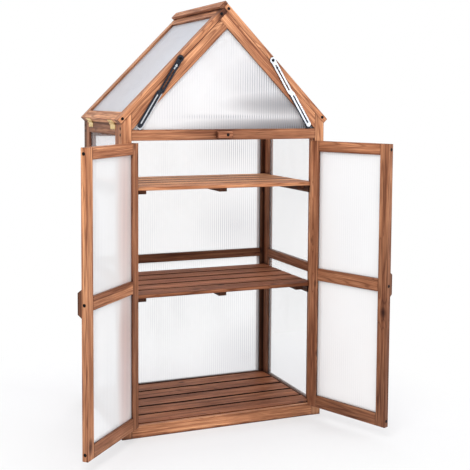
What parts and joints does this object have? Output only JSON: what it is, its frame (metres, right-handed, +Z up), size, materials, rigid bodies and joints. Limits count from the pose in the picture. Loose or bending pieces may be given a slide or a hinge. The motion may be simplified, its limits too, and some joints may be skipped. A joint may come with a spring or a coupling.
{
  "type": "mini greenhouse",
  "caption": "Tall wooden mini greenhouse cabinet with glazed hinged doors, slatted shelves, a turn button and a pitched roof whose two halves lift on slotted stays.",
  "frame": {"origin": "middle of the front bottom rail's underside: half way across the cabinet, at the floor, half way through the rail's thickness", "axes": "+X to the right seen from the front, +Y towards the back, +Z up"},
  "size_m": [0.9857, 0.7498, 1.3755],
  "materials": {
    "wood_frame": "planed softwood with a warm brown stain, eased edges",
    "wood_shelf": "planed softwood slats with a darker brown stain",
    "wood_trim": "small planed softwood blocks, brown stain",
    "twin_wall_sheet": "clear twin-wall polycarbonate with fine upright flutes",
    "hinge_brass": "brass-plated pressed steel",
    "stay_steel": "dark plated strip steel"
  },
  "bodies": {
    "cabinet": {"post_front_left": "wood_frame", "post_front_right": "wood_frame", "post_rear_left": "wood_frame", "post_rear_right": "wood_frame", "front_bottom_rail": "wood_frame", "front_top_rail": "wood_frame", "rear_bottom_rail": "wood_frame", "rear_mid_rail": "wood_frame", "rear_top_rail": "wood_frame", "rafter_front_left": "wood_frame", "rafter_front_right": "wood_frame", "gable_sheet_front": "twin_wall_sheet", "rafter_rear_left": "wood_frame", "rafter_rear_right": "wood_frame", "gable_sheet_rear": "twin_wall_sheet", "rear_sheet_upper": "twin_wall_sheet", "rear_sheet_lower": "twin_wall_sheet", "side_frame_left": "wood_frame", "side_sheet_left_upper": "twin_wall_sheet", "side_sheet_left_lower": "twin_wall_sheet", "side_frame_right": "wood_frame", "side_sheet_right_upper": "twin_wall_sheet", "side_sheet_right_lower": "twin_wall_sheet", "shelf_bottom": "wood_shelf", "shelf_middle": "wood_shelf", "shelf_cleat_middle_left": "wood_shelf", "shelf_cleat_middle_right": "wood_shelf", "shelf_upper": "wood_shelf", "shelf_cleat_upper_left": "wood_shelf", "shelf_cleat_upper_right": "wood_shelf", "door_hinge_left_lower": "hinge_brass", "door_hinge_left_upper": "hinge_brass", "eave_hinge_left_front": "hinge_brass", "eave_hinge_left_rear": "hinge_brass", "stay_foot_left": "stay_steel", "door_hinge_right_lower": "hinge_brass", "door_hinge_right_upper": "hinge_brass", "eave_hinge_right_front": "hinge_brass", "eave_hinge_right_rear": "hinge_brass", "stay_foot_right": "stay_steel"},
    "left_door": {"door_frame_left": "wood_frame", "door_sheet_left_upper": "twin_wall_sheet", "door_sheet_left_lower": "twin_wall_sheet", "door_handle_left": "wood_trim"},
    "right_door": {"door_frame_right": "wood_frame", "door_sheet_right_upper": "twin_wall_sheet", "door_sheet_right_lower": "twin_wall_sheet", "door_handle_right": "wood_trim"},
    "left_roof": {"roof_frame_left": "wood_frame", "roof_sheet_left": "twin_wall_sheet", "ridge_cap": "wood_frame"},
    "right_roof": {"roof_frame_right": "wood_frame", "roof_sheet_right": "twin_wall_sheet"},
    "left_stay_front": {"stay_front_arm_left": "stay_steel"},
    "right_stay_front": {"stay_front_arm_right": "stay_steel"},
    "left_stay_rear": {"stay_rear_arm_left": "stay_steel"},
    "right_stay_rear": {"stay_rear_arm_right": "stay_steel"},
    "button": {"turn_button": "wood_trim"}
  },
  "joints": [
    {"name": "left_door_hinge", "type": "hinge", "parent": "cabinet", "child": "left_door", "pos_m": [-0.3142, -0.01075, 0.486], "axis": [0, 0, 1], "range_deg": [-45, 135]},
    {"name": "right_door_hinge", "type": "hinge", "parent": "cabinet", "child": "right_door", "pos_m": [0.3142, -0.01075, 0.486], "axis": [0, 0, 1], "range_deg": [-112.4, 67.6]},
    {"name": "left_roof_hinge", "type": "hinge", "parent": "cabinet", "child": "left_roof", "pos_m": [-0.353, 0.21575, 0.9875], "axis": [0, -1, 0], "range_deg": [0, 70]},
    {"name": "right_roof_hinge", "type": "hinge", "parent": "cabinet", "child": "right_roof", "pos_m": [0.353, 0.21575, 0.9875], "axis": [0, 1, 0], "range_deg": [0, 70]},
    {"name": "left_stay_pivot", "type": "hinge", "parent": "left_roof", "child": "left_stay_front", "pos_m": [-0.15915, -0.01175, 1.19216], "axis": [0, -1, 0], "range_deg": [-2.69, 0]},
    {"name": "right_stay_pivot", "type": "hinge", "parent": "right_roof", "child": "right_stay_front", "pos_m": [0.15915, -0.01175, 1.19216], "axis": [0, 1, 0], "range_deg": [-2.69, 0]},
    {"name": "left_stay_slide", "type": "slide", "parent": "left_stay_front", "child": "left_stay_rear", "axis": [-0.5243, 0, -0.8516], "range_m": [0, 0.0708]},
    {"name": "right_stay_slide", "type": "slide", "parent": "right_stay_front", "child": "right_stay_rear", "axis": [0.5243, 0, -0.8516], "range_m": [0, 0.0708]},
    {"name": "turn_button_pivot", "type": "hinge", "parent": "cabinet", "child": "button", "pos_m": [-0.003, -0.0095, 0.9536], "axis": [0, -1, 0], "range_deg": [-90, 90]}
  ],
  "couplings": [
    {"joint": "left_stay_pivot", "follows": "left_roof_hinge", "ratio": -0.038309},
    {"joint": "right_stay_pivot", "follows": "right_roof_hinge", "ratio": -0.038309},
    {"joint": "left_stay_slide", "follows": "left_roof_hinge", "m_per_rad": 0.057876},
    {"joint": "right_stay_slide", "follows": "right_roof_hinge", "m_per_rad": 0.057876}
  ]
}
